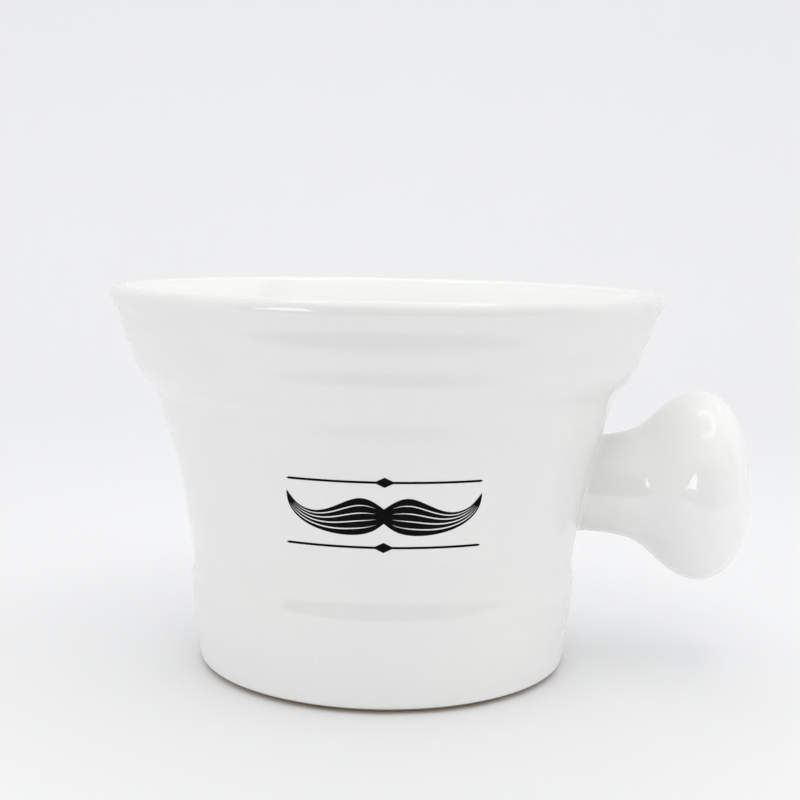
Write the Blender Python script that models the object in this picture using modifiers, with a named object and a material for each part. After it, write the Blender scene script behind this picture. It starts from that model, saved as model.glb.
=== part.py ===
"""Shaving mug: a glazed ceramic cup with a flared collar, a turned knob handle luted to its
wall, and a fired-on ornament. Metres, +Z up, +X towards the knob; the origin is at the middle
of the object's footprint, on the surface that it stands on."""
import bpy
import bmesh
from math import cos, pi, sin, sqrt

MM = 0.001

# ---- Driving dimensions -------------------------------------------------------------------
RIM_RADIUS = 63.5 * MM          # outside of the lip: a 5 inch mouth
MUG_HEIGHT = 87.7 * MM
LIP_ROUND = 2.0 * MM            # the lip is a full round as thick as the wall
LIP_LEAN = 24.0                 # degrees that the wall leans out where it meets the lip
FOOT_BAND_RADIUS = 45.05 * MM   # widest part of the band round the foot
BASE_RADIUS = 43.3 * MM         # where the band meets the base edge
BASE_ROUND = 0.9 * MM
FOOT_LIFT = 0.9 * MM            # the base edge clears the table on the foot ring
FOOT_RING_OUTER = 40.6 * MM
FOOT_RING_INNER = 36.2 * MM
RECESS_DEPTH = 2.2 * MM         # hollow under the base, inside the foot ring
FLOOR_TOP = 6.4 * MM            # inside floor
FLOOR_CORNER = 9.0 * MM         # round between the inside floor and the wall

KNOB_HEIGHT = 42.25 * MM        # the knob's axis above the table
KNOB_REACH = 84.8 * MM          # end of the knob from the cup's axis
KNOB_RADIUS = 22.4 * MM
NECK_RADIUS = 11.3 * MM
KNOB_SHELL = 4.6 * MM           # cast thickness round the knob's hollow
SLIP_BEAD = 1.9 * MM            # round of the slip pressed into the joint
GAP = 0.3 * MM                  # clearance between touching pieces

ORNAMENT_WIDTH = 40.0 * MM
ORNAMENT_HEIGHT = 43.7 * MM     # its centre above the table; it is square to the knob
RULE_HEIGHT = 0.5 * MM
RULE_OFFSET = 7.0 * MM          # each rule above or below the ornament's centre
LOZENGE_HEIGHT = 2.2 * MM       # in the middle of each rule
LOZENGE_WIDTH = 3.4 * MM
FILM_GAP = 0.1 * MM
FILM_THICKNESS = 0.12 * MM
PRESS_RADIUS = 44.0 * MM        # the flat outlines start from here, and reach through the wall
PRESS_DEPTH = 14.0 * MM

BODY_STEPS = 64
KNOB_STEPS = 40
BEAD_STEPS = 48

# The cup's axis is off the origin, because the origin is at the middle of the whole footprint.
CUP_AXIS_X = (RIM_RADIUS - KNOB_REACH) / 2

# Outer side from under the lip down to the base: (height, radius). The collar has two soft
# rings and ends in a ledge, the wall draws in to a waist, and a bead starts the foot band.
OUTER_STATIONS = [
    (84.9 * MM, 63.3 * MM),
    (82.0 * MM, 61.75 * MM),
    (78.0 * MM, 60.55 * MM),
    (74.2 * MM, 58.75 * MM),
    (71.0 * MM, 57.9 * MM),
    (68.8 * MM, 56.6 * MM),
    (65.2 * MM, 53.7 * MM),
    (60.4 * MM, 52.1 * MM),
    (51.7 * MM, 49.4 * MM),
    (41.9 * MM, 47.2 * MM),
    (33.1 * MM, 45.75 * MM),
    (26.8 * MM, 44.85 * MM),
    (24.0 * MM, 44.7 * MM),
    (21.2 * MM, FOOT_BAND_RADIUS),
    (13.0 * MM, 44.55 * MM),
    (FOOT_LIFT + BASE_ROUND, BASE_RADIUS),
]

# Inner side from above the floor's corner up to the lip: the wall is cast to one thickness.
INNER_STATIONS = [
    (FLOOR_TOP + FLOOR_CORNER, 40.0 * MM),
    (28.0 * MM, 40.9 * MM),
    (42.0 * MM, 43.2 * MM),
    (52.0 * MM, 45.5 * MM),
    (62.0 * MM, 48.9 * MM),
    (68.0 * MM, 52.0 * MM),
    (76.0 * MM, 55.6 * MM),
    (86.5 * MM, 59.7 * MM),
]

# Knob: (distance from the cup's axis, radius), from the neck's root to the rounded cap.
KNOB_STATIONS = [
    (40.0 * MM, NECK_RADIUS),
    (46.0 * MM, NECK_RADIUS),
    (51.5 * MM, 11.6 * MM),
    (56.5 * MM, 12.45 * MM),
    (61.0 * MM, 14.4 * MM),
    (65.5 * MM, 18.3 * MM),
    (69.2 * MM, 21.0 * MM),
    (73.3 * MM, KNOB_RADIUS),
]
CAP_ANGLES = (78, 66, 54, 42, 30, 20, 10)   # degrees round the cap, from its end outwards
CAP_FULLNESS = 0.8                          # under 1, the cap is fuller than an ellipse

# The knob's hollow, from its drain hole at the root to its end. The cup's wall closes it.
HOLLOW_STATIONS = [
    (40.0 * MM, NECK_RADIUS - KNOB_SHELL),
    (55.0 * MM, 7.4 * MM),
    (63.5 * MM, 11.8 * MM),
    (70.5 * MM, 16.6 * MM),
    (75.0 * MM, 16.2 * MM),
    (78.6 * MM, 11.0 * MM),
    (KNOB_REACH - KNOB_SHELL, 0),
]

# Moustache: its right half as (across, up), from the middle out along the top to the tip, then
# back along the bottom.
MOUSTACHE_TOP = [
    (0.0 * MM, 1.3 * MM),
    (2.8 * MM, 3.1 * MM),
    (6.1 * MM, 3.4 * MM),
    (10.4 * MM, 1.5 * MM),
    (14.3 * MM, 0.5 * MM),
    (17.7 * MM, 1.7 * MM),
    (ORNAMENT_WIDTH / 2, 4.5 * MM),
]
MOUSTACHE_BOTTOM = [
    (ORNAMENT_WIDTH / 2, 4.5 * MM),
    (19.3 * MM, 1.0 * MM),
    (16.2 * MM, -2.2 * MM),
    (11.3 * MM, -4.0 * MM),
    (6.4 * MM, -4.4 * MM),
    (2.6 * MM, -3.6 * MM),
    (0.0 * MM, -1.8 * MM),
]


# ---- Shape helpers ------------------------------------------------------------------------
def smooth_curve(stations, per_span):
    """Points of a smooth curve through the stations, per_span of them between each two."""
    last = len(stations) - 1
    points = []
    for i in range(last):
        before = stations[max(i - 1, 0)]
        start = stations[i]
        end = stations[i + 1]
        after = stations[min(i + 2, last)]
        for k in range(per_span):
            t = k / per_span
            points.append(tuple(catmull_rom(b, s, e, a, t)
                                for b, s, e, a in zip(before, start, end, after)))
    points.append(stations[last])
    return points


def catmull_rom(before, start, end, after, t):
    """One coordinate of a Catmull-Rom span at t, from 0 at start to 1 at end."""
    return 0.5 * (2 * start + (end - before) * t
                  + (2 * before - 5 * start + 4 * end - after) * t ** 2
                  + (3 * start - before - 3 * end + after) * t ** 3)


def arc(centre, radius, start_deg, end_deg, steps):
    """Points round a centre; 0 degrees points along the first coordinate."""
    angles = [(start_deg + (end_deg - start_deg) * k / steps) * pi / 180
              for k in range(steps + 1)]
    return [(centre[0] + radius * cos(a), centre[1] + radius * sin(a)) for a in angles]


def swap(points):
    """(height, radius) stations as (radius, height) outline points."""
    return [(radius, height) for height, radius in points]


def turned(name, outline, steps, collection, grow=0.0, closed=False):
    """A solid turned about Z from (radius, height) points that run down its outer side. They
    start and end on the axis, or close on themselves for a ring."""
    mesh = bpy.data.meshes.new(name)
    bm = bmesh.new()
    verts = [bm.verts.new((radius + (grow if radius > 0 else 0), 0, height))
             for radius, height in outline]
    following = verts[1:] + verts[:1] if closed else verts[1:]
    for first, second in zip(verts, following):
        bm.edges.new((first, second))
    bm.to_mesh(mesh)
    bm.free()
    obj = bpy.data.objects.new(name, mesh)
    collection.objects.link(obj)
    screw = obj.modifiers.new("turn", 'SCREW')
    screw.axis = 'Z'
    screw.angle = 2 * pi
    screw.steps = steps
    screw.render_steps = steps
    screw.use_merge_vertices = True
    screw.merge_threshold = 0.00001
    screw.use_smooth_shade = True
    return obj


def cut(obj, tool, operation='DIFFERENCE'):
    """Boolean with the exact solver."""
    boolean = obj.modifiers.new(operation.lower(), 'BOOLEAN')
    boolean.operation = operation
    boolean.solver = 'EXACT'
    boolean.object = tool


def as_guide(obj):
    """Cutters are shown as wires and aren't part of the object."""
    obj.hide_render = True
    obj.display_type = 'WIRE'


def material(name, color, roughness):
    mat = bpy.data.materials.new(name)
    mat.use_nodes = True
    shader = mat.node_tree.nodes["Principled BSDF"]
    shader.inputs["Base Color"].default_value = (*color, 1)
    shader.inputs["Roughness"].default_value = roughness
    shader.inputs["Metallic"].default_value = 0
    return mat


def give(obj, mat):
    obj.data.materials.append(mat)


# ---- Outlines -----------------------------------------------------------------------------
def outer_side():
    """(radius, height) points of the cup's outside, from under the lip down to the base."""
    return swap(smooth_curve(OUTER_STATIONS, 2))


def cup_outline():
    """Section of the cup: inside floor, inner wall, lip, outer wall, base edge, foot ring."""
    corner_radius = INNER_STATIONS[0][1] - FLOOR_CORNER
    floor_corner = arc((corner_radius, FLOOR_TOP + FLOOR_CORNER), FLOOR_CORNER, -90, 0, 5)
    inner_wall = swap(smooth_curve(INNER_STATIONS, 1))
    lip = arc((RIM_RADIUS - LIP_ROUND, MUG_HEIGHT - LIP_ROUND), LIP_ROUND,
              180 - LIP_LEAN, -LIP_LEAN, 10)
    base_edge = arc((BASE_RADIUS - BASE_ROUND, FOOT_LIFT + BASE_ROUND), BASE_ROUND, 0, -90, 3)
    foot_ring = [
        (FOOT_RING_OUTER + FOOT_LIFT / 2, FOOT_LIFT),
        (FOOT_RING_OUTER, 0),
        (FOOT_RING_INNER, 0),
        (FOOT_RING_INNER - RECESS_DEPTH / 2, RECESS_DEPTH),
        (0, RECESS_DEPTH),
    ]
    return ([(0, FLOOR_TOP)] + floor_corner + inner_wall[1:-1] + lip + outer_side()[1:-1]
            + base_edge + foot_ring)


def wall_radius(height):
    """The cup's outer radius at a height."""
    side = outer_side()
    for (high_r, high_z), (low_r, low_z) in zip(side, side[1:]):
        if low_z <= height <= high_z:
            share = (height - low_z) / (high_z - low_z)
            return low_r + (high_r - low_r) * share
    return side[-1][0]


def knob_outline():
    """Section of the knob about its own axis: the cap, the flare, the neck, then the hollow."""
    widest = KNOB_STATIONS[-1][0]
    cap_depth = KNOB_REACH - widest
    cap = [(0, KNOB_REACH)]
    for degrees in CAP_ANGLES:
        angle = degrees * pi / 180
        cap.append((KNOB_RADIUS * cos(angle) ** CAP_FULLNESS,
                    widest + cap_depth * sin(angle) ** CAP_FULLNESS))
    flare_and_neck = list(reversed(swap(smooth_curve(KNOB_STATIONS, 2))))
    hollow = swap(smooth_curve(HOLLOW_STATIONS, 2))
    return cap + flare_and_neck + hollow


# ---- Sub-parts ----------------------------------------------------------------------------
def make_cup(parts):
    cup = turned("mug_body", cup_outline(), BODY_STEPS, parts)
    cup.location.x = CUP_AXIS_X
    return cup


def make_wall_cutter(cutters):
    """The outside of the cup as a plain solid, a gap bigger, for trimming what meets it."""
    side = outer_side()
    outline = [(0, side[0][1])] + side + [(0, side[-1][1])]
    tool = turned("cut_cup_outside", outline, BODY_STEPS, cutters, grow=GAP)
    tool.location.x = CUP_AXIS_X
    as_guide(tool)
    return tool


def make_knob(parts, wall_cutter):
    knob = turned("knob_handle", knob_outline(), KNOB_STEPS, parts)
    knob.location = (CUP_AXIS_X, 0, KNOB_HEIGHT)
    knob.rotation_euler.y = pi / 2
    cut(knob, wall_cutter)
    return knob


def joint_line():
    """Closed line where the neck's surface meets the cup's wall."""
    points = []
    for k in range(BEAD_STEPS):
        angle = 2 * pi * k / BEAD_STEPS
        across = NECK_RADIUS * cos(angle)
        height = KNOB_HEIGHT + NECK_RADIUS * sin(angle)
        radius = wall_radius(height)
        points.append((CUP_AXIS_X + sqrt(radius ** 2 - across ** 2), across, height))
    return points


def make_bead(parts, cutters, wall_cutter):
    """Slip pressed into the corner between the neck and the wall."""
    curve = bpy.data.curves.new("handle_joint_slip", 'CURVE')
    curve.dimensions = '3D'
    curve.bevel_depth = SLIP_BEAD
    curve.bevel_resolution = 2
    spline = curve.splines.new('POLY')
    spline.points.add(BEAD_STEPS - 1)
    for point, place in zip(spline.points, joint_line()):
        point.co = (*place, 1)
    spline.use_cyclic_u = True
    tube = bpy.data.objects.new("bead_curve", curve)
    parts.objects.link(tube)
    bpy.context.view_layer.update()
    graph = bpy.context.evaluated_depsgraph_get()
    mesh = bpy.data.meshes.new_from_object(tube.evaluated_get(graph))
    bead = bpy.data.objects.new("handle_joint_slip", mesh)
    parts.objects.link(bead)
    bead.matrix_world = tube.matrix_world
    bpy.data.objects.remove(tube)
    mesh.shade_smooth()

    root = KNOB_STATIONS[0][0]
    neck_side = list(reversed(swap(smooth_curve(KNOB_STATIONS[:5], 2))))
    neck = turned("cut_neck", [(0, neck_side[0][1])] + neck_side + [(0, root)],
                  KNOB_STEPS, cutters, grow=GAP)
    neck.location = (CUP_AXIS_X, 0, KNOB_HEIGHT)
    neck.rotation_euler.y = pi / 2
    as_guide(neck)
    cut(bead, wall_cutter)
    cut(bead, neck)
    return bead


# ---- Ornament: a moustache between two rules, all of one printed film ----------------------
def mirrored(right_half):
    """A closed outline from its right half, which starts and ends on the middle line."""
    left_half = [(-x, y) for x, y in reversed(right_half[1:-1])]
    return right_half + left_half


def moustache_outline():
    top = smooth_curve(MOUSTACHE_TOP, 3)
    bottom = smooth_curve(MOUSTACHE_BOTTOM, 3)
    return mirrored(top + bottom[1:])


def rule_outline():
    """A thin rule with pointed ends and a lozenge in its middle."""
    half = ORNAMENT_WIDTH / 2
    edge = RULE_HEIGHT / 2
    return mirrored([
        (0, LOZENGE_HEIGHT / 2),
        (LOZENGE_WIDTH / 2, edge),
        (half - 2 * edge, edge),
        (half, 0),
        (half - 2 * edge, -edge),
        (LOZENGE_WIDTH / 2, -edge),
        (0, -LOZENGE_HEIGHT / 2),
    ])


def make_film_band(cutters):
    """The band of thin film, parallel to the wall, that the ornament is printed in."""
    reach = RULE_OFFSET + LOZENGE_HEIGHT
    side = [(r, z) for r, z in outer_side() if abs(z - ORNAMENT_HEIGHT) < reach + 4 * MM]
    outside = [(r + FILM_GAP + FILM_THICKNESS, z) for r, z in side]
    inside = [(r + FILM_GAP, z) for r, z in reversed(side)]
    band = turned("cut_film_band", outside + inside, BODY_STEPS, cutters, closed=True)
    band.location.x = CUP_AXIS_X
    as_guide(band)
    return band


def make_print(name, outline, up, parts, film_band):
    """An outline pressed through the film band, so what is left follows the wall."""
    curve = bpy.data.curves.new(name, 'CURVE')
    curve.dimensions = '2D'
    curve.fill_mode = 'BOTH'
    curve.extrude = PRESS_DEPTH / 2
    spline = curve.splines.new('POLY')
    spline.points.add(len(outline) - 1)
    for point, (x, y) in zip(spline.points, outline):
        point.co = (x, y, 0, 1)
    spline.use_cyclic_u = True
    flat = bpy.data.objects.new("flat_outline", curve)
    parts.objects.link(flat)
    flat.rotation_euler.x = pi / 2
    flat.location = (CUP_AXIS_X, -PRESS_RADIUS, ORNAMENT_HEIGHT + up)
    bpy.context.view_layer.update()
    graph = bpy.context.evaluated_depsgraph_get()
    mesh = bpy.data.meshes.new_from_object(flat.evaluated_get(graph))
    bm = bmesh.new()
    bm.from_mesh(mesh)
    bmesh.ops.remove_doubles(bm, verts=bm.verts, dist=0.000001)
    bm.to_mesh(mesh)
    bm.free()
    piece = bpy.data.objects.new(name, mesh)
    parts.objects.link(piece)
    piece.matrix_world = flat.matrix_world
    bpy.data.objects.remove(flat)
    cut(piece, film_band, 'INTERSECT')
    return piece


# ---- The object ---------------------------------------------------------------------------
def clear_scene():
    for obj in list(bpy.data.objects):
        bpy.data.objects.remove(obj, do_unlink=True)


def new_collection(name):
    collection = bpy.data.collections.new(name)
    bpy.context.scene.collection.children.link(collection)
    return collection


def build():
    clear_scene()
    parts = new_collection("shaving_mug")
    cutters = new_collection("cutters")
    glaze = material("white_glaze", (0.86, 0.86, 0.84), 0.12)
    slip = material("glazed_slip", (0.84, 0.84, 0.82), 0.14)
    ink = material("fired_black_ink", (0.012, 0.013, 0.015), 0.3)

    wall_cutter = make_wall_cutter(cutters)
    film_band = make_film_band(cutters)
    give(make_cup(parts), glaze)
    give(make_knob(parts, wall_cutter), glaze)
    give(make_bead(parts, cutters, wall_cutter), slip)
    give(make_print("ornament_moustache", moustache_outline(), 0, parts, film_band), ink)
    for name, up in (("ornament_rule_upper", RULE_OFFSET), ("ornament_rule_lower", -RULE_OFFSET)):
        give(make_print(name, rule_outline(), up, parts, film_band), ink)


build()
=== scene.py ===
"""Looks of the shaving mug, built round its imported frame. Metres, +Z up, +X towards the knob,
-Y the side with the ornament; the mug stands on the floor at z = 0."""
from math import acos, atan2, cos, degrees, pi, radians, sin, sqrt, tan

import bmesh
import bpy
import numpy as np
from mathutils import Matrix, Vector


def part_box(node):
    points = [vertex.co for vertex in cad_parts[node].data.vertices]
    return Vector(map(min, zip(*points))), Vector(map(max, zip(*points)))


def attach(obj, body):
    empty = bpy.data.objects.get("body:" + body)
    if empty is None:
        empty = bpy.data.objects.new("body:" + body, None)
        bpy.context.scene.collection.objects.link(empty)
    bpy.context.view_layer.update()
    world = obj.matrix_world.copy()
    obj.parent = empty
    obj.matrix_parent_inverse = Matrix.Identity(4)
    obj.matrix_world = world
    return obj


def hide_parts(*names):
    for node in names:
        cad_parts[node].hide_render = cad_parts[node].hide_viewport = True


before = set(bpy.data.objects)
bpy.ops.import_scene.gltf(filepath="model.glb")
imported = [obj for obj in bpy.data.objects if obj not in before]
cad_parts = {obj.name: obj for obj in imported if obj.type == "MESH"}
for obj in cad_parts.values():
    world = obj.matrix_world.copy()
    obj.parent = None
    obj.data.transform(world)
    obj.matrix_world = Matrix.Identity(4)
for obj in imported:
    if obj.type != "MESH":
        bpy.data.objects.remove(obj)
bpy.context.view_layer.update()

MM = 0.001

# ---- Places and sizes that come from the frame --------------------------------------------
cup_low, cup_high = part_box("mug_body")
knob_low, knob_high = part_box("knob_handle")
print_low, print_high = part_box("ornament_moustache")
upper_low, upper_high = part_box("ornament_rule_upper")
lower_low, lower_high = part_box("ornament_rule_lower")

AXIS_X = (cup_low.x + cup_high.x) / 2
RIM_RADIUS = (cup_high.x - cup_low.x) / 2
MUG_HEIGHT = cup_high.z
KNOB_HEIGHT = (knob_low.z + knob_high.z) / 2
KNOB_RADIUS = (knob_high.z - knob_low.z) / 2
KNOB_REACH = knob_high.x - AXIS_X
ORNAMENT_WIDTH = print_high.x - print_low.x
UPPER_RULE_HEIGHT = (upper_low.z + upper_high.z) / 2
LOWER_RULE_HEIGHT = (lower_low.z + lower_high.z) / 2
ORNAMENT_HEIGHT = (UPPER_RULE_HEIGHT + LOWER_RULE_HEIGHT) / 2
LOZENGE_HEIGHT = upper_high.z - upper_low.z

# ---- The cup's section --------------------------------------------------------------------
LIP_ROUND = 2.0 * MM            # the lip is a full round as thick as the wall
LIP_LEAN = 24.0                 # degrees that the wall leans out where it meets the lip
BASE_ROUND = 1.2 * MM
BASE_LEAN = 6.5                 # degrees that the wall leans out above the base edge
FOOT_LIFT = 1.05 * MM           # the base edge clears the table on the foot ring
FOOT_RING_OUTER = 40.6 * MM
FOOT_RING_INNER = 36.2 * MM
FOOT_RING_EDGE = 0.4 * MM
RECESS_DEPTH = 2.2 * MM         # hollow under the base, inside the foot ring
RECESS_ROUND = 1.2 * MM
FLOOR_TOP = 6.4 * MM            # inside floor
FLOOR_CORNER = 9.0 * MM         # round between the inside floor and the wall
UNDERSIDE_CORNER = 0.3 * MM     # where the underside turns down into the foot ring
INNER_FOOT_RADIUS = 40.0 * MM   # inside of the wall, above the floor's corner

# Outer side between the base edge and the lip: (height, radius).
OUTER_STATIONS = [
    (1.8 * MM, 43.1 * MM),
    (13.0 * MM, 44.55 * MM),
    (17.5 * MM, 44.85 * MM),
    (21.2 * MM, 45.05 * MM),
    (24.0 * MM, 44.7 * MM),
    (26.8 * MM, 44.85 * MM),
    (33.1 * MM, 45.75 * MM),
    (41.9 * MM, 47.2 * MM),
    (51.7 * MM, 49.4 * MM),
    (60.4 * MM, 52.1 * MM),
    (65.2 * MM, 53.8 * MM),
    (68.2 * MM, 56.4 * MM),
    (70.1 * MM, 57.7 * MM),
    (73.3 * MM, 58.6 * MM),
    (78.4 * MM, 60.72 * MM),
    (82.3 * MM, 61.83 * MM),
]

# Inner side above the floor's corner: (height, radius).
INNER_STATIONS = [
    (28.0 * MM, 40.9 * MM),
    (42.0 * MM, 43.2 * MM),
    (52.0 * MM, 45.5 * MM),
    (62.0 * MM, 48.9 * MM),
    (68.0 * MM, 52.0 * MM),
    (76.0 * MM, 55.6 * MM),
]

# ---- The knob's section: (distance from the cup's axis, radius) ----------------------------
NECK_RADIUS = 11.3 * MM
KNOB_STATIONS = [
    (40.0 * MM, NECK_RADIUS),
    (46.0 * MM, NECK_RADIUS),
    (51.5 * MM, 11.6 * MM),
    (56.5 * MM, 12.45 * MM),
    (61.0 * MM, 14.4 * MM),
    (65.5 * MM, 18.3 * MM),
    (69.2 * MM, 21.0 * MM),
    (73.3 * MM, 22.4 * MM),
    (77.2 * MM, 21.8 * MM),
    (80.6 * MM, 19.15 * MM),
    (83.2 * MM, 14.0 * MM),
    (84.4 * MM, 8.0 * MM),
]
KNOB_ROOT = 1.5 * MM            # how deep the knob is set in the wall
JOINT_ROUND = 1.3 * MM          # the slip pressed into the joint is a hollow round
JOINT_ROOT = 0.5 * MM           # how deep the slip's hidden back is set in neck and wall
JOINT_NEAREST = 44 * MM         # the joint lies between these two distances from the cup's axis
JOINT_FARTHEST = 58 * MM

# ---- The ornament: right half as (across, up), from the middle to the tip -------------------
MOUSTACHE_TOP = [
    (0.0 * MM, 1.3 * MM),
    (2.8 * MM, 3.1 * MM),
    (6.1 * MM, 3.4 * MM),
    (10.4 * MM, 1.5 * MM),
    (14.3 * MM, 0.5 * MM),
    (17.7 * MM, 1.7 * MM),
    (ORNAMENT_WIDTH / 2, 4.5 * MM),
]
MOUSTACHE_BOTTOM = [
    (0.0 * MM, -1.8 * MM),
    (2.6 * MM, -3.6 * MM),
    (6.4 * MM, -4.4 * MM),
    (11.3 * MM, -4.0 * MM),
    (16.2 * MM, -2.2 * MM),
    (19.3 * MM, 1.0 * MM),
    (ORNAMENT_WIDTH / 2, 4.5 * MM),
]
LOCK_EDGES = (0, 0.18, 0.38, 0.59, 0.8, 1)   # the moustache's locks, as shares of its depth
SLIT_WIDTH = 0.3 * MM           # bare glaze between two locks, at its widest
SLIT_START = 0.10               # where a slit opens and closes, as shares of the half width
SLIT_END = 0.86
TIP_SHARE = 0.985               # the locks end here, just short of the point
RULE_HALF = 0.25 * MM           # half a rule's height, and the same at its pointed ends
RULE_TIP_HALF = 0.02 * MM
LOZENGE_HALF_WIDTH = 1.7 * MM
INK_PROUD = 0.03 * MM           # how far the ink stands out of the wall, and is set in it
INK_ROOT = 0.03 * MM

# ---- Mesh fineness --------------------------------------------------------------------------
CUP_STEPS = 192                 # faces round the cup, round the knob and along the knob
KNOB_STEPS = 160
KNOB_ROWS = 150
WALL_SPACING = 0.6 * MM         # rows of faces up the outside, up the inside and on the flats
INSIDE_SPACING = 1.2 * MM
FLAT_SPACING = 1.6 * MM
MOUSTACHE_COLUMNS = 141
RULE_COLUMNS = 81


# ---- Curves ---------------------------------------------------------------------------------
def spline(stations, start_slope=None, end_slope=None):
    """Cubic spline through (place, value) stations, as a function. An end with no slope is
    left free."""
    x, y = np.array(stations, float).T
    step = np.diff(x)
    rise = np.diff(y) / step
    count = len(x)
    matrix = np.eye(count)
    bend = np.zeros(count)
    for i in range(1, count - 1):
        matrix[i, i - 1:i + 2] = step[i - 1], 2 * (step[i - 1] + step[i]), step[i]
        bend[i] = 6 * (rise[i] - rise[i - 1])
    if start_slope is not None:
        matrix[0, :2] = 2 * step[0], step[0]
        bend[0] = 6 * (rise[0] - start_slope)
    if end_slope is not None:
        matrix[-1, -2:] = step[-1], 2 * step[-1]
        bend[-1] = 6 * (end_slope - rise[-1])
    curve = np.linalg.solve(matrix, bend)

    def value(at):
        i = np.clip(np.searchsorted(x, at) - 1, 0, count - 2)
        a = (x[i + 1] - at) / step[i]
        b = 1 - a
        return (a * y[i] + b * y[i + 1]
                + ((a ** 3 - a) * curve[i] + (b ** 3 - b) * curve[i + 1]) * step[i] ** 2 / 6)
    return value


def arc(centre, radius, start_deg, end_deg, steps):
    """Points round a centre; 0 degrees points along the first coordinate."""
    angles = np.radians(np.linspace(start_deg, end_deg, steps + 1))
    return [(centre[0] + radius * cos(a), centre[1] + radius * sin(a)) for a in angles]


def rounded(corners, steps=8):
    """Outline through (radius, height, rounding) corners, each turned on an arc."""
    points = []
    for i, (r, z, rounding) in enumerate(corners):
        here = np.array([r, z])
        if rounding == 0:
            points.append((r, z))
            continue
        back = np.array(corners[i - 1][:2]) - here
        on = np.array(corners[i + 1][:2]) - here
        back /= np.linalg.norm(back)
        on /= np.linalg.norm(on)
        half = acos(back @ on) / 2
        middle = (back + on) / np.linalg.norm(back + on)
        centre = here + middle * rounding / sin(half)
        start = here + back * rounding / tan(half) - centre
        end = here + on * rounding / tan(half) - centre
        start_deg = degrees(atan2(start[1], start[0]))
        turn = (degrees(atan2(end[1], end[0])) - start_deg + 180) % 360 - 180
        points += arc(centre, rounding, start_deg, start_deg + turn, steps)
    return points


def fill_in(points, longest):
    """The outline with points added on its straight stretches longer than longest."""
    filled = [points[0]]
    for (r0, z0), (r1, z1) in zip(points, points[1:]):
        parts = max(1, int(np.ceil(np.hypot(r1 - r0, z1 - z0) / longest)))
        filled += [(r0 + (r1 - r0) * k / parts, z0 + (z1 - z0) * k / parts)
                   for k in range(1, parts + 1)]
    return filled


# The lip's centre, and the wall's two sides as functions of height. They meet the lip and the
# base edge along their tangents.
LIP_CENTRE = (RIM_RADIUS - LIP_ROUND, MUG_HEIGHT - LIP_ROUND)
LIP_ACROSS = LIP_ROUND * cos(radians(LIP_LEAN))
LIP_UP = LIP_ROUND * sin(radians(LIP_LEAN))
LIP_SLOPE = tan(radians(LIP_LEAN))
OUTER_TOP = (LIP_CENTRE[1] - LIP_UP, LIP_CENTRE[0] + LIP_ACROSS)
INNER_TOP = (LIP_CENTRE[1] + LIP_UP, LIP_CENTRE[0] - LIP_ACROSS)
outer_wall = spline(OUTER_STATIONS + [OUTER_TOP], tan(radians(BASE_LEAN)), LIP_SLOPE)
inner_wall = spline([(FLOOR_TOP + FLOOR_CORNER, INNER_FOOT_RADIUS)] + INNER_STATIONS
                    + [INNER_TOP], 0, LIP_SLOPE)


def wall_side(wall, start, end, spacing):
    """(radius, height) points along one side of the wall."""
    heights = np.linspace(start, end, int(abs(end - start) / spacing) + 2)
    return [(float(wall(z)), float(z)) for z in heights]


def cup_outline():
    """Half section of the cup, from the middle of its floor over the lip to its underside."""
    floor = rounded([
        (0, FLOOR_TOP, 0),
        (INNER_FOOT_RADIUS, FLOOR_TOP, FLOOR_CORNER),
        (INNER_FOOT_RADIUS, FLOOR_TOP + FLOOR_CORNER, 0),
    ], steps=16)[:-1]
    inside = wall_side(inner_wall, FLOOR_TOP + FLOOR_CORNER, INNER_TOP[0], INSIDE_SPACING)
    lip = arc(LIP_CENTRE, LIP_ROUND, 180 - LIP_LEAN, -LIP_LEAN, 24)
    base_height = FOOT_LIFT + BASE_ROUND
    join_height = base_height - BASE_ROUND * sin(radians(BASE_LEAN))
    outside = wall_side(outer_wall, OUTER_TOP[0], join_height, WALL_SPACING)
    base_centre = outside[-1][0] - BASE_ROUND * cos(radians(BASE_LEAN))
    base_edge = arc((base_centre, base_height), BASE_ROUND, -BASE_LEAN, -90, 12)
    underside = rounded([
        (base_centre, FOOT_LIFT, 0),
        (FOOT_RING_OUTER + FOOT_RING_EDGE, FOOT_LIFT, UNDERSIDE_CORNER),
        (FOOT_RING_OUTER, 0, FOOT_RING_EDGE),
        (FOOT_RING_INNER, 0, FOOT_RING_EDGE),
        (FOOT_RING_INNER - RECESS_ROUND, RECESS_DEPTH, RECESS_ROUND),
        (0, RECESS_DEPTH, 0),
    ])
    outline = floor + inside[:-1] + lip + outside[1:-1] + base_edge + underside[1:]
    return fill_in(outline, FLAT_SPACING)


# ---- Meshes ---------------------------------------------------------------------------------
def join_rings(bm, first, second):
    """Faces between two rings of vertices; a ring of one vertex closes in a fan."""
    for k in range(max(len(first), len(second))):
        corners = [first[k % len(first)], first[(k + 1) % len(first)],
                   second[(k + 1) % len(second)], second[k % len(second)]]
        bm.faces.new(list(dict.fromkeys(corners)))


def finished(name, bm, sharp_deg=50):
    """The object made from a bmesh, its faces out and smooth except over sharp edges."""
    bmesh.ops.recalc_face_normals(bm, faces=bm.faces)
    mesh = bpy.data.meshes.new(name)
    bm.to_mesh(mesh)
    bm.free()
    mesh.shade_smooth()
    mesh.set_sharp_from_angle(angle=radians(sharp_deg))
    obj = bpy.data.objects.new(name, mesh)
    bpy.context.scene.collection.objects.link(obj)
    return obj


def make_cup():
    bm = bmesh.new()
    angles = [2 * pi * k / CUP_STEPS for k in range(CUP_STEPS)]
    rings = []
    for radius, height in cup_outline():
        around = angles if radius > 0 else angles[:1]
        rings.append([bm.verts.new((AXIS_X + radius * cos(a), radius * sin(a), height))
                      for a in around])
    for first, second in zip(rings, rings[1:]):
        join_rings(bm, first, second)
    return finished("cup", bm)


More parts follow.
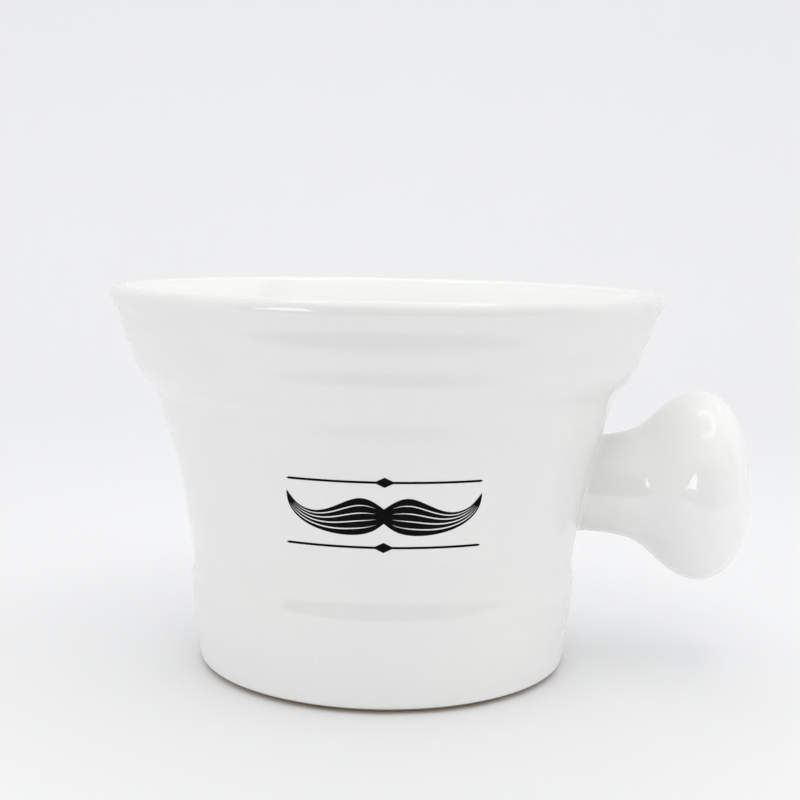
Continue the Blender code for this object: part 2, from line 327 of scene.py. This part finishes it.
# The square of the knob's radius is smooth right up to its end, where the radius itself isn't.
knob_square = spline([(s, r ** 2) for s, r in KNOB_STATIONS] + [(KNOB_REACH, 0)], start_slope=0)
HEAD = np.linspace(0.8, 0.95, 400) * KNOB_REACH     # the knob is widest somewhere here
WIDEST = sqrt(knob_square(HEAD).max())


def knob_radius(distance):
    """The knob's radius at a distance from the cup's axis."""
    return np.sqrt(np.maximum(knob_square(distance), 0)) * KNOB_RADIUS / WIDEST


def around_knob(distance, radius, angle):
    """The point at an angle round the knob's axis."""
    return (AXIS_X + distance, radius * cos(angle), KNOB_HEIGHT + radius * sin(angle))


def make_knob():
    """The knob runs from a root that follows the wall, set a little into it, to its end."""
    bm = bmesh.new()
    angles = [2 * pi * k / KNOB_STEPS for k in range(KNOB_STEPS)]
    roots = []
    for angle in angles:
        wall = outer_wall(KNOB_HEIGHT + NECK_RADIUS * sin(angle)) - KNOB_ROOT
        roots.append(sqrt(wall ** 2 - (NECK_RADIUS * cos(angle)) ** 2))
    rings = [[bm.verts.new(around_knob(np.mean(roots), 0, 0))]]
    for row in range(KNOB_ROWS):
        left = (1 - row / KNOB_ROWS) ** 2
        ring = []
        for angle, root in zip(angles, roots):
            distance = KNOB_REACH - (KNOB_REACH - root) * left
            ring.append(bm.verts.new(around_knob(distance, float(knob_radius(distance)), angle)))
        rings.append(ring)
    rings.append([bm.verts.new(around_knob(KNOB_REACH, 0, 0))])
    for first, second in zip(rings, rings[1:]):
        join_rings(bm, first, second)
    return finished("knob", bm)


def slope(curve, at):
    """The slope of a curve, from two points close together."""
    reach = 0.01 * MM
    return (curve(at + reach) - curve(at - reach)) / (2 * reach)


def nearest_on_wall(point):
    """The wall's nearest point to a point outside it, and the wall's outward direction there."""
    across = np.hypot(point[0] - AXIS_X, point[1])
    height = point[2]
    for _ in range(12):
        height = point[2] + (across - outer_wall(height)) * slope(outer_wall, height)
    radius = outer_wall(height)
    foot = np.array([AXIS_X + (point[0] - AXIS_X) * radius / across,
                     point[1] * radius / across, height])
    return foot, (point - foot) / np.linalg.norm(point - foot)


def ball_centre(distance, angle):
    """Centre of a ball that touches the neck, with the touching point and its direction."""
    tilt = slope(knob_radius, distance)
    out = np.array([-tilt, cos(angle), sin(angle)]) / sqrt(1 + tilt ** 2)
    touch = np.array(around_knob(distance, knob_radius(distance), angle))
    return touch + out * JOINT_ROUND, touch, out


def joint_section(angle, steps=14):
    """Section of the slip at an angle round the neck: the hollow arc of a ball that rolls in
    the corner between neck and wall, then its hidden back, inside both."""
    near, far = JOINT_NEAREST, JOINT_FARTHEST
    for _ in range(40):
        middle = (near + far) / 2
        centre = ball_centre(middle, angle)[0]
        if np.linalg.norm(centre - nearest_on_wall(centre)[0]) < JOINT_ROUND \
                or np.hypot(centre[0] - AXIS_X, centre[1]) < outer_wall(centre[2]):
            near = middle
        else:
            far = middle
    centre, neck_touch, neck_out = ball_centre(far, angle)
    wall_touch, wall_out = nearest_on_wall(centre)
    corner = acos(np.clip(wall_out @ neck_out, -1, 1))
    section = []
    for share in np.linspace(0, 1, steps + 1):
        turned = (sin((1 - share) * corner) * wall_out + sin(share * corner) * neck_out)
        section.append(centre - JOINT_ROUND * turned / sin(corner))
    back = (wall_out + neck_out) / (1 + wall_out @ neck_out)
    section.append(neck_touch - JOINT_ROOT * neck_out)
    section.append(centre - (JOINT_ROUND + JOINT_ROOT) * back)
    section.append(wall_touch - JOINT_ROOT * wall_out)
    return section


def make_joint():
    bm = bmesh.new()
    sections = [[bm.verts.new(point) for point in joint_section(2 * pi * k / KNOB_STEPS)]
                for k in range(KNOB_STEPS)]
    for first, second in zip(sections, sections[1:] + sections[:1]):
        join_rings(bm, first, second)
    return finished("knob_joint", bm, sharp_deg=30)


# ---- The ornament ---------------------------------------------------------------------------
def on_wall(across, height, proud):
    """The point on the ornament's side of the wall, proud of it."""
    radius = float(outer_wall(height)) + proud
    return (AXIS_X + across, -sqrt(radius ** 2 - across ** 2), height)


def make_film(name, strips):
    """Closed films of ink on the wall. A strip is columns of (across, height) points."""
    bm = bmesh.new()
    for columns in strips:
        over, under = ([[bm.verts.new(on_wall(x, z, proud)) for x, z in column]
                        for column in columns] for proud in (INK_PROUD, -INK_ROOT))
        for sheet in (over, under):
            for left, right in zip(sheet, sheet[1:]):
                for j in range(len(left) - 1):
                    bm.faces.new((left[j], right[j], right[j + 1], left[j + 1]))
        loops = [[column[0] for column in sheet] + sheet[-1][1:]
                 + [column[-1] for column in sheet[-2::-1]] + sheet[0][-2:0:-1]
                 for sheet in (over, under)]
        join_rings(bm, *loops)
    return finished(name, bm, sharp_deg=30)


def column_between(low, high, rows=6):
    """Points from low to high."""
    return [tuple(low + (high - low) * j / rows) for j in range(rows + 1)]


def make_moustache():
    """Locks of hair from tip to tip, with slits of bare glaze between them."""
    def edge(stations):
        places = np.linspace(0, 1, len(stations))
        across = spline([(p, s[0]) for p, s in zip(places, stations)])
        up = spline([(p, s[1]) for p, s in zip(places, stations)])
        return lambda share: np.array([across(share), ORNAMENT_HEIGHT + up(share)])

    top = edge(MOUSTACHE_TOP)
    bottom = edge(MOUSTACHE_BOTTOM)
    strips = []
    for lower, upper in zip(LOCK_EDGES, LOCK_EDGES[1:]):
        columns = []
        for t in np.linspace(-TIP_SHARE, TIP_SHARE, MOUSTACHE_COLUMNS):
            share = abs(t)
            low, high = bottom(share), top(share)
            opening = np.clip((share - SLIT_START) / (SLIT_END - SLIT_START), 0, 1)
            slit = SLIT_WIDTH / 2 * sin(pi * opening) ** 0.7 / np.linalg.norm(high - low)
            start = lower + (slit if lower > 0 else 0)
            end = upper - (slit if upper < 1 else 0)
            side = np.array([-1 if t < 0 else 1, 1])
            columns.append(column_between((low + (high - low) * start) * side,
                                          (low + (high - low) * end) * side, rows=3))
        strips.append(columns)
    return make_film("moustache", strips)


def make_rule(name, height):
    """A thin rule with pointed ends and a lozenge in its middle."""
    half = ORNAMENT_WIDTH / 2
    point = 2 * RULE_HALF
    shape_places = [-half, point - half, -LOZENGE_HALF_WIDTH, 0, LOZENGE_HALF_WIDTH,
                    half - point, half]
    shape_heights = [RULE_TIP_HALF, RULE_HALF, RULE_HALF, LOZENGE_HEIGHT / 2, RULE_HALF,
                     RULE_HALF, RULE_TIP_HALF]
    places = sorted(set(np.linspace(-half, half, RULE_COLUMNS)) | set(shape_places))
    columns = []
    for across in places:
        reach = np.interp(across, shape_places, shape_heights)
        columns.append(column_between(np.array([across, height - reach]),
                                      np.array([across, height + reach]), rows=3))
    return make_film(name, [columns])


# ---- Materials ------------------------------------------------------------------------------
GLAZE_IOR = 1.65
INK_IOR = 1.5
GLAZE_TONE = (0.845, 0.850, 0.838)          # the cup's outside, and where it is thinner
GLAZE_THIN_TONE = (0.862, 0.862, 0.848)
# Painted light: the inside and the lip's crest are whiter than the glaze, standing in for light in
# the cup.
INSIDE_LIT_TONE = (0.965, 0.965, 0.958)
LIP_CREST_LIT_TONE = (0.915, 0.915, 0.905)
UNDER_LEDGE_LIT_TONE = (0.885, 0.885, 0.872)           # painted light under the ledge
# Painted light: the knob's glaze is whiter than the cup's, standing in for light on the knob.
KNOB_LIT_TONE = (0.938, 0.937, 0.929)
KNOB_LIT_THIN_TONE = (0.946, 0.944, 0.937)
# Painted shade: a darker olive tone round the neck, standing in for the shade and dark reflection
# there.
NECK_SHADE_TONE = (0.868, 0.872, 0.842)
JOINT_TONE = (0.875, 0.878, 0.850)         # in the joint
SPECK_TONE = (0.42, 0.38, 0.31)
# Painted shade: the bare biscuit and the patches on it are dark brown, standing in for the dark
# gap under the base.
SHADED_BISCUIT_TONES = ((0.40, 0.33, 0.24), (0.32, 0.25, 0.17))
FOOT_SHADE_TONE = (0.20, 0.17, 0.13)
INK_SPECULAR = 0.06
INK_TONES = ((0.0015, 0.0016, 0.0018), (0.0040, 0.0042, 0.0046))
INK_PINHOLE_TONE = (0.30, 0.30, 0.29)

# Where a tone comes in or goes out: heights, and distances from the cup's axis.
LIP_IN = (86.0 * MM, 87.0 * MM)
UNDER_LEDGE_LIGHT_IN = (61 * MM, 66 * MM)
UNDER_LEDGE_LIGHT_OUT = (67.5 * MM, 71 * MM)
NECK_SHADE_OUT = (50 * MM, 62 * MM)
BARE_OUT = (FOOT_LIFT + 0.08 * MM, FOOT_LIFT + 0.2 * MM)
BARE_WANDER = 0.15 * MM         # how far the glaze's edge wanders up and down
GLAZE_ROUGHNESS = (0.02, 0.045)
BISCUIT_ROUGHNESS = 0.86
INK_ROUGHNESS = (0.16, 0.30)

# How large the unevenness of each surface is, and how deep its bumps are.
CLOUD_SIZE = 28 * MM            # glaze: slow change of tone, then specks and smears of gloss
SPECK_SIZE = 0.55 * MM
SMEAR_SIZE = 9 * MM
WAVE_SIZE = 17 * MM
WAVE_DEPTH = 0.015 * MM
PEEL_SIZE = 1.5 * MM
PEEL_DEPTH = 0.0009 * MM
EDGE_SIZE = 4 * MM              # the glaze's edge over the foot
GRIT_SIZE = 0.35 * MM           # bare biscuit
GRIT_DEPTH = 0.03 * MM
FOOT_SHADE_SIZE = 7 * MM
INK_CLOUD_SIZE = 1.1 * MM
INK_GRAIN_SIZE = 0.22 * MM
INK_GRAIN_DEPTH = 0.002 * MM


def add_node(tree, kind, inputs=None, **settings):
    """A shader node. Its inputs take a value or another node's output."""
    node = tree.nodes.new("ShaderNode" + kind)
    for setting, value in settings.items():
        setattr(node, setting, value)
    for socket, value in (inputs or {}).items():
        if isinstance(value, bpy.types.NodeSocket):
            tree.links.new(value, node.inputs[socket])
        else:
            node.inputs[socket].default_value = value
    return node


def noise(tree, place, size, detail=2.0):
    """Noise about 0.5, with features about size metres across."""
    return add_node(tree, "TexNoise", {"Vector": place, "Scale": 1 / size, "Detail": detail}
                    ).outputs[0]


def stretch(tree, value, low, high, start=0.35, end=0.65):
    """A value's stretch from start to end, mapped smoothly to low to high."""
    return add_node(tree, "MapRange", {"Value": value, "From Min": start, "From Max": end,
                                       "To Min": low, "To Max": high},
                    interpolation_type='SMOOTHSTEP').outputs[0]


def mix_colors(tree, share, first, second):
    """A colour between two; each is a colour or another node's output."""
    node = add_node(tree, "Mix", {0: share}, data_type='RGBA')
    for socket, color in ((6, first), (7, second)):
        if isinstance(color, bpy.types.NodeSocket):
            tree.links.new(color, node.inputs[socket])
        else:
            node.inputs[socket].default_value = (*color, 1)
    return node.outputs[2]


def mix_values(tree, share, first, second):
    """A number between two; each is a number or another node's output."""
    node = add_node(tree, "Mix", {0: share, 2: first, 3: second}, data_type='FLOAT')
    return node.outputs[0]


def raise_by(tree, height, depth, under=None):
    """A bump of depth metres where height is 1, over another bump if one is given."""
    inputs = {"Height": height, "Strength": 1.0, "Distance": depth}
    if under is not None:
        inputs["Normal"] = under
    return add_node(tree, "Bump", inputs).outputs[0]


def new_material(name):
    """A material's tree, its shader, and the place on the object in metres."""
    mat = bpy.data.materials.new(name)
    mat.use_nodes = True
    tree = mat.node_tree
    place = add_node(tree, "TexCoord").outputs["Object"]
    return mat, tree, tree.nodes["Principled BSDF"], place


def glaze_surface(tree, place, shader, tone, thin_tone):
    """Clear gloss glaze: slow change of tone, orange peel, pinholes and a soft waviness."""
    shader.inputs["IOR"].default_value = GLAZE_IOR
    shader.inputs["Specular IOR Level"].default_value = 0.5
    cloud = stretch(tree, noise(tree, place, CLOUD_SIZE, 3), 0, 1)
    color = mix_colors(tree, cloud, tone, thin_tone)
    speck_noise = noise(tree, place, SPECK_SIZE, 0)
    specks = stretch(tree, speck_noise, 0, 0.10, 0.80, 0.84)
    color = mix_colors(tree, specks, color, SPECK_TONE)
    smear = noise(tree, place, SMEAR_SIZE, 4)
    rough = stretch(tree, smear, *GLAZE_ROUGHNESS, 0.3, 0.7)
    wave = raise_by(tree, noise(tree, place, WAVE_SIZE, 1), WAVE_DEPTH)
    peel = raise_by(tree, noise(tree, place, PEEL_SIZE, 2), PEEL_DEPTH, wave)
    return color, rough, peel


def make_glaze_material():
    """White glaze over the cup, painted whiter inside and under the ledge as light, a little less
    white on the lip's crest, and wiped off the foot ring, where the bare biscuit is painted dark
    as shade."""
    mat, tree, shader, place = new_material("white_glaze")
    color, rough, bumps = glaze_surface(tree, place, shader, GLAZE_TONE, GLAZE_THIN_TONE)
    height = add_node(tree, "SeparateXYZ", {0: place}).outputs["Z"]

    # Painted light: under the ledge the glaze is made whiter, standing in for light that reaches
    # it there.
    under_ledge_light = add_node(tree, "Math", {0: stretch(tree, height, 0, 1, *UNDER_LEDGE_LIGHT_IN),
                                   1: stretch(tree, height, 1, 0, *UNDER_LEDGE_LIGHT_OUT)},
                    operation='MULTIPLY').outputs[0]
    color = mix_colors(tree, under_ledge_light, color, UNDER_LEDGE_LIT_TONE)

    # Painted light: inside, the glaze is made whiter to stand in for light in the cup, a little
    # less so on the lip's crest. A surface is inside where it faces the axis or up.
    spread = add_node(tree, "VectorMath", {0: place, 1: (AXIS_X, 0, 0)}, operation='SUBTRACT')
    level = add_node(tree, "VectorMath", {0: spread.outputs[0], 1: (1, 1, 0)},
                     operation='MULTIPLY')
    outward = add_node(tree, "VectorMath", {0: level.outputs[0]}, operation='NORMALIZE')
    toward_axis = add_node(tree, "VectorMath", {0: (0, 0, 0.6), 1: outward.outputs[0]},
                           operation='SUBTRACT')
    facing = add_node(tree, "VectorMath", {
        0: toward_axis.outputs[0], 1: add_node(tree, "NewGeometry").outputs["Normal"],
    }, operation='DOT_PRODUCT').outputs["Value"]
    inside = stretch(tree, facing, 0, 1, -0.1, 0.7)
    crest = stretch(tree, height, 0, 1, *LIP_IN)
    white = mix_colors(tree, crest, INSIDE_LIT_TONE, LIP_CREST_LIT_TONE)
    color = mix_colors(tree, inside, color, white)

    # The glaze is wiped off the foot, and stops in an uneven line round the top of the ring's side
    # and the bottom of the base edge. The bare biscuit is rough, and painted dark brown as shade
    # for the gap under the base.
    wander = stretch(tree, noise(tree, place, EDGE_SIZE, 3), -BARE_WANDER, BARE_WANDER, 0.3, 0.7)
    edge = add_node(tree, "Math", {0: height, 1: wander}, operation='ADD').outputs[0]
    bare = stretch(tree, edge, 1, 0, *BARE_OUT)
    grit = noise(tree, place, GRIT_SIZE, 4)
    biscuit = mix_colors(tree, stretch(tree, grit, 0, 1), *SHADED_BISCUIT_TONES)
    # Dark patches on the biscuit are painted shade in the gap under the base.
    foot_shade = stretch(tree, noise(tree, place, FOOT_SHADE_SIZE, 5), 0, 0.5, 0.5, 0.75)
    biscuit = mix_colors(tree, foot_shade, biscuit, FOOT_SHADE_TONE)
    grain = raise_by(tree, grit, GRIT_DEPTH)

    tree.links.new(mix_colors(tree, bare, color, biscuit), shader.inputs["Base Color"])
    tree.links.new(mix_values(tree, bare, rough, BISCUIT_ROUGHNESS), shader.inputs["Roughness"])
    normal = add_node(tree, "Mix", {0: bare, 4: bumps, 5: grain}, data_type='VECTOR')
    tree.links.new(normal.outputs[1], shader.inputs["Normal"])
    return mat


def make_knob_material():
    """The same glaze on the knob, painted whiter than the cup's as light on its head, and painted
    a darker olive tone round the neck as shade."""
    mat, tree, shader, place = new_material("knob_glaze")
    color, rough, bumps = glaze_surface(tree, place, shader, KNOB_LIT_TONE, KNOB_LIT_THIN_TONE)
    along = add_node(tree, "SeparateXYZ", {0: place}).outputs["X"]
    # Painted shade round the neck, fading out towards the head.
    neck_shade = stretch(tree, along, 1, 0, *(AXIS_X + x for x in NECK_SHADE_OUT))
    color = mix_colors(tree, neck_shade, color, NECK_SHADE_TONE)
    tree.links.new(color, shader.inputs["Base Color"])
    tree.links.new(rough, shader.inputs["Roughness"])
    tree.links.new(bumps, shader.inputs["Normal"])
    return mat


def make_joint_material():
    """Glaze in the joint: a tone between the wall's and the knob's, clouded with the neck's
    painted shade.
    """
    mat, tree, shader, place = new_material("joint_glaze")
    color, rough, bumps = glaze_surface(tree, place, shader, JOINT_TONE, NECK_SHADE_TONE)
    tree.links.new(color, shader.inputs["Base Color"])
    tree.links.new(rough, shader.inputs["Roughness"])
    tree.links.new(bumps, shader.inputs["Normal"])
    return mat


def make_ink_material():
    """Fired black print: dense, faintly uneven, with a softer gloss than the glaze."""
    mat, tree, shader, place = new_material("fired_ink")
    shader.inputs["IOR"].default_value = INK_IOR
    shader.inputs["Specular IOR Level"].default_value = INK_SPECULAR
    density = stretch(tree, noise(tree, place, INK_CLOUD_SIZE, 4), 0, 1, 0.3, 0.75)
    color = mix_colors(tree, density, *INK_TONES)
    ink_grain = noise(tree, place, INK_GRAIN_SIZE, 2)
    pinholes = stretch(tree, ink_grain, 0, 0.5, 0.78, 0.82)
    color = mix_colors(tree, pinholes, color, INK_PINHOLE_TONE)
    rough = stretch(tree, ink_grain, *INK_ROUGHNESS, 0.3, 0.7)
    tree.links.new(color, shader.inputs["Base Color"])
    tree.links.new(rough, shader.inputs["Roughness"])
    tree.links.new(raise_by(tree, ink_grain, INK_GRAIN_DEPTH), shader.inputs["Normal"])
    return mat


# ---- The pieces -----------------------------------------------------------------------------
def place_piece(piece, node, mat):
    """Puts a piece in the place of its CAD node, on the mug's one body."""
    piece.data.materials.append(mat)
    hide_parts(node)
    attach(piece, "root")


def make_pieces():
    place_piece(make_cup(), "mug_body", make_glaze_material())
    place_piece(make_knob(), "knob_handle", make_knob_material())
    place_piece(make_joint(), "handle_joint_slip", make_joint_material())
    ink = make_ink_material()
    place_piece(make_moustache(), "ornament_moustache", ink)
    place_piece(make_rule("rule_upper", UPPER_RULE_HEIGHT), "ornament_rule_upper",
                ink)
    place_piece(make_rule("rule_lower", LOWER_RULE_HEIGHT), "ornament_rule_lower",
                ink)


# ---- Stage: a white sweep under a ring light, in a pale room with dark cards in front --------
SWEEP_START = 0.42              # where the floor starts to curve up, behind the mug
SWEEP_ROUND = 0.25
SWEEP_HALF_WIDTH = 3.0
SWEEP_FRONT = -3.0
SWEEP_TOP = 2.5
SWEEP_COLOR = (0.816, 0.820, 0.830)
SWEEP_CLOUD_SIZE = 0.4          # how large its slow change of tone is, and its fibres
FIBRE_SIZE = 0.6 * MM
SWEEP_GLOW = 0.109              # painted light: the card glows a little, but not under the mug
GLOW_START = 40.5 * MM          # distances from the cup's axis where the glow begins, is full
GLOW_FULL = 43.4 * MM

RING_HEIGHT = 0.47
RING_CENTRE = (AXIS_X + 0.010, -0.025)
RING_OUTER = 0.190
RING_INNER = 0.110
RING_COLOR = (1, 0.99, 0.97)
RING_STRENGTH = 2.6
RING_SEEN = 1.9                 # radiance of its diffuser, as reflections see it

# Softboxes round the mug: direction, radiance, and how fast each fades off its direction (the
# power of the cosine).
ROOM_LIGHTS = [
    ((0, -1, 0), 0.60, 2.0),
    ((-1, 0, 0), 1.30, 2.0),
    ((1, 0, 0), 1.08, 2.0),
    ((0.7, -0.7, 0), 0.16, 6.0),
    ((0, -0.6, 0.8), 0.72, 6.0),
    ((0.6, 0, 0.8), 0.66, 6.0),
    ((-0.6, 0, 0.8), 0.22, 6.0),
]
ROOM_SEEN = (0.815, 0.822, 0.835)           # what the camera and reflections see past the sweep

# Cards, seen only in reflections: corners as (across from the cup's axis, height), radiance.
CARD_PLANE = -0.158


def sheet(left, right, low, high):
    """Corners of an upright sheet."""
    return [(left, low), (right, low), (right, high), (left, high)]


CARDS = {
    "card_low": (sheet(-0.209, 0.090, 0, 0.020), (0.03, 0.035, 0.03)),
    "card_low_side": (sheet(0.090, 0.300, 0, 0.020), (0.22, 0.24, 0.21)),
    "card_mid": (sheet(-0.209, 0.300, 0.020, 0.150), (0.22, 0.24, 0.21)),
    "card_high": (sheet(-0.209, 0.300, 0.150, 0.400), (0.62, 0.60, 0.56)),
    "card_side": (sheet(0.300, 1.200, 0, 0.600), (0.28, 0.30, 0.28)),
}
FRONT_PLANE = -0.1575           # these hang just in front of the others
FRONT_CARDS = {
    "card_dark": ([(-0.050, 0.021), (0.075, 0.021), (0.075, 0.118), (-0.050, 0.125)],
                  (0.0, 0.01, 0.0)),
    "card_glint": ([(-0.175, 0.050), (-0.067, 0.052), (-0.077, 0.114), (-0.113, 0.120)],
                   (3.2, 3.2, 3.2)),
    "card_slot": (sheet(-0.054, -0.0525, 0.0, 0.10), (1, 1, 1)),
}

# The floor as reflections see it: it darkens from here to the cards.
SHADE_END = -0.118
SHADE_HALF_WIDTH = 0.21
SHADE_LIFT = 0.5 * MM
SHADE_BACK = 0.80               # radiance where it starts, and at the cards
SHADE_FRONT = 0.20


def emitter(name, color, strength):
    """A material that only glows."""
    mat = bpy.data.materials.new(name)
    mat.use_nodes = True
    tree = mat.node_tree
    tree.nodes.clear()
    glow = add_node(tree, "Emission", {"Color": (*color, 1), "Strength": strength})
    out = add_node(tree, "OutputMaterial")
    tree.links.new(glow.outputs[0], out.inputs[0])
    return mat


def stage_mesh(name, verts, faces, mat):
    """An object that belongs to the stage, not to the mug."""
    mesh = bpy.data.meshes.new(name)
    mesh.from_pydata(verts, [], faces)
    mesh.shade_smooth()
    mesh.materials.append(mat)
    obj = bpy.data.objects.new(name, mesh)
    bpy.context.scene.collection.objects.link(obj)
    return obj


def make_sweep():
    """Floor, curve and wall in one seamless sheet of matt white card."""
    mat, tree, shader, place = new_material("sweep_card")
    cloud = stretch(tree, noise(tree, place, SWEEP_CLOUD_SIZE, 3), 0, 1)
    color = mix_colors(tree, cloud, SWEEP_COLOR, tuple(c * 0.99 for c in SWEEP_COLOR))
    tree.links.new(color, shader.inputs["Base Color"])
    shader.inputs["Emission Color"].default_value = (1, 1, 1, 1)
    # Painted light: the card glows everywhere but under the mug's base, which leaves the gap there
    # dark.
    from_axis = add_node(tree, "VectorMath", {0: place, 1: (AXIS_X, 0, 0)}, operation='DISTANCE')
    glow = stretch(tree, from_axis.outputs["Value"], 0, SWEEP_GLOW, GLOW_START, GLOW_FULL)
    tree.links.new(glow, shader.inputs["Emission Strength"])
    fibre = noise(tree, place, FIBRE_SIZE, 3)
    tree.links.new(stretch(tree, fibre, 0.75, 0.85), shader.inputs["Roughness"])
    side = [(SWEEP_FRONT, 0), (SWEEP_START, 0)]
    side += arc((SWEEP_START, SWEEP_ROUND), SWEEP_ROUND, -90, 0, 40)[1:]
    side.append((SWEEP_START + SWEEP_ROUND, SWEEP_TOP))
    verts = [(x, y, z) for y, z in side for x in (-SWEEP_HALF_WIDTH, SWEEP_HALF_WIDTH)]
    faces = [(2 * i, 2 * i + 1, 2 * i + 3, 2 * i + 2) for i in range(len(side) - 1)]
    stage_mesh("sweep", verts, faces, mat)


def make_ring_light(steps=96):
    """A ring light overhead, facing down, behind a diffuser that reflections see instead."""
    verts = [(RING_CENTRE[0] + radius * cos(2 * pi * k / steps),
              RING_CENTRE[1] + radius * sin(2 * pi * k / steps), RING_HEIGHT)
             for radius in (RING_INNER, RING_OUTER) for k in range(steps)]
    faces = [(k, (k + 1) % steps, steps + (k + 1) % steps, steps + k) for k in range(steps)]
    ring = stage_mesh("ring_light", verts, faces, emitter("ring_glow", RING_COLOR,
                                                          RING_STRENGTH))
    ring.visible_camera = False
    ring.visible_glossy = False
    diffuser = emitter("ring_diffuser", RING_COLOR, RING_SEEN)
    diffuser.cycles.emission_sampling = 'NONE'
    hide_from_diffuse(stage_mesh("ring_diffuser", verts, faces, diffuser))


def make_floor_shade():
    """A sheet that glows like a floor that darkens towards the tent's open front."""
    mat, tree, shader, place = new_material("floor_shade")
    tree.nodes.remove(shader)
    depth = add_node(tree, "SeparateXYZ", {0: place}).outputs["Y"]
    glow = add_node(tree, "Emission", {"Strength": stretch(tree, depth, SHADE_FRONT, SHADE_BACK,
                                                           CARD_PLANE, SHADE_END)})
    tree.links.new(glow.outputs[0], tree.nodes["Material Output"].inputs[0])
    mat.cycles.emission_sampling = 'NONE'
    verts = [(AXIS_X + x, y, SHADE_LIFT) for x, y in (
        (-SHADE_HALF_WIDTH, CARD_PLANE), (SHADE_HALF_WIDTH, CARD_PLANE),
        (SHADE_HALF_WIDTH, SHADE_END), (-SHADE_HALF_WIDTH, SHADE_END))]
    hide_from_diffuse(stage_mesh("floor_shade", verts, [(0, 1, 2, 3)], mat))


def hide_from_diffuse(card):
    """Only reflections see the card."""
    card.visible_camera = False
    card.visible_diffuse = False
    card.visible_shadow = False
    card.visible_transmission = False


def make_cards(cards, plane):
    """Cards that stand in for the open front of the light tent."""
    for name, (corners, color) in cards.items():
        mat = emitter(name, color, 1.0)
        mat.cycles.emission_sampling = 'NONE'
        card = stage_mesh(name, [(AXIS_X + x, plane, z) for x, z in corners],
                          [tuple(range(len(corners)))], mat)
        hide_from_diffuse(card)


def make_world():
    """The room lights the mug from its soft boxes, and is seen in one pale tone."""
    world = bpy.data.worlds.new("pale_room")
    world.use_nodes = True
    tree = world.node_tree
    direction = add_node(tree, "TexCoord").outputs["Generated"]
    total = 0.0
    for side, radiance, power in ROOM_LIGHTS:
        facing = add_node(tree, "VectorMath", {0: direction, 1: side}, operation='DOT_PRODUCT')
        ahead = add_node(tree, "Math", {0: facing.outputs["Value"], 1: 0.0}, operation='MAXIMUM')
        faded = add_node(tree, "Math", {0: ahead.outputs[0], 1: power}, operation='POWER')
        total = add_node(tree, "Math", {0: faded.outputs[0], 1: radiance, 2: total},
                         operation='MULTIPLY_ADD').outputs[0]
    room = tree.nodes["Background"]
    tree.links.new(total, room.inputs["Strength"])
    room.inputs["Color"].default_value = (1, 1, 1, 1)
    seen = add_node(tree, "Background", {"Color": (*ROOM_SEEN, 1)})
    path = add_node(tree, "LightPath")
    looked_at = add_node(tree, "Math", {0: path.outputs["Is Camera Ray"],
                                        1: path.outputs["Is Glossy Ray"]}, operation='MAXIMUM')
    pick = add_node(tree, "MixShader", {0: looked_at.outputs[0], 1: room.outputs[0],
                                        2: seen.outputs[0]})
    tree.links.new(pick.outputs[0], tree.nodes["World Output"].inputs[0])
    bpy.context.scene.world = world


# ---- Camera ---------------------------------------------------------------------------------
CAMERA_DISTANCE = 0.3127        # in front of the cup's axis
CAMERA_HEIGHT = 0.1009
CAMERA_DOWN = 7.23              # degrees
CAMERA_ASIDE = 0.60             # degrees towards +X
CAMERA_ROLL = 1.13              # degrees
CAMERA_LENS = 60.25
SENSOR_WIDTH = 36.0


def make_camera():
    data = bpy.data.cameras.new("camera")
    data.lens = CAMERA_LENS
    data.sensor_width = SENSOR_WIDTH
    data.clip_start = 0.01
    camera = bpy.data.objects.new("camera", data)
    bpy.context.scene.collection.objects.link(camera)
    turn = (Matrix.Rotation(-radians(CAMERA_ASIDE), 4, 'Z')
            @ Matrix.Rotation(radians(90 - CAMERA_DOWN), 4, 'X')
            @ Matrix.Rotation(radians(CAMERA_ROLL), 4, 'Z'))
    camera.matrix_world = Matrix.Translation((AXIS_X, -CAMERA_DISTANCE, CAMERA_HEIGHT)) @ turn
    bpy.context.scene.camera = camera


make_pieces()
make_sweep()
make_ring_light()
make_cards(CARDS, CARD_PLANE)
make_cards(FRONT_CARDS, FRONT_PLANE)
make_floor_shade()
make_world()
make_camera()
bpy.context.scene.view_settings.view_transform = 'Standard'
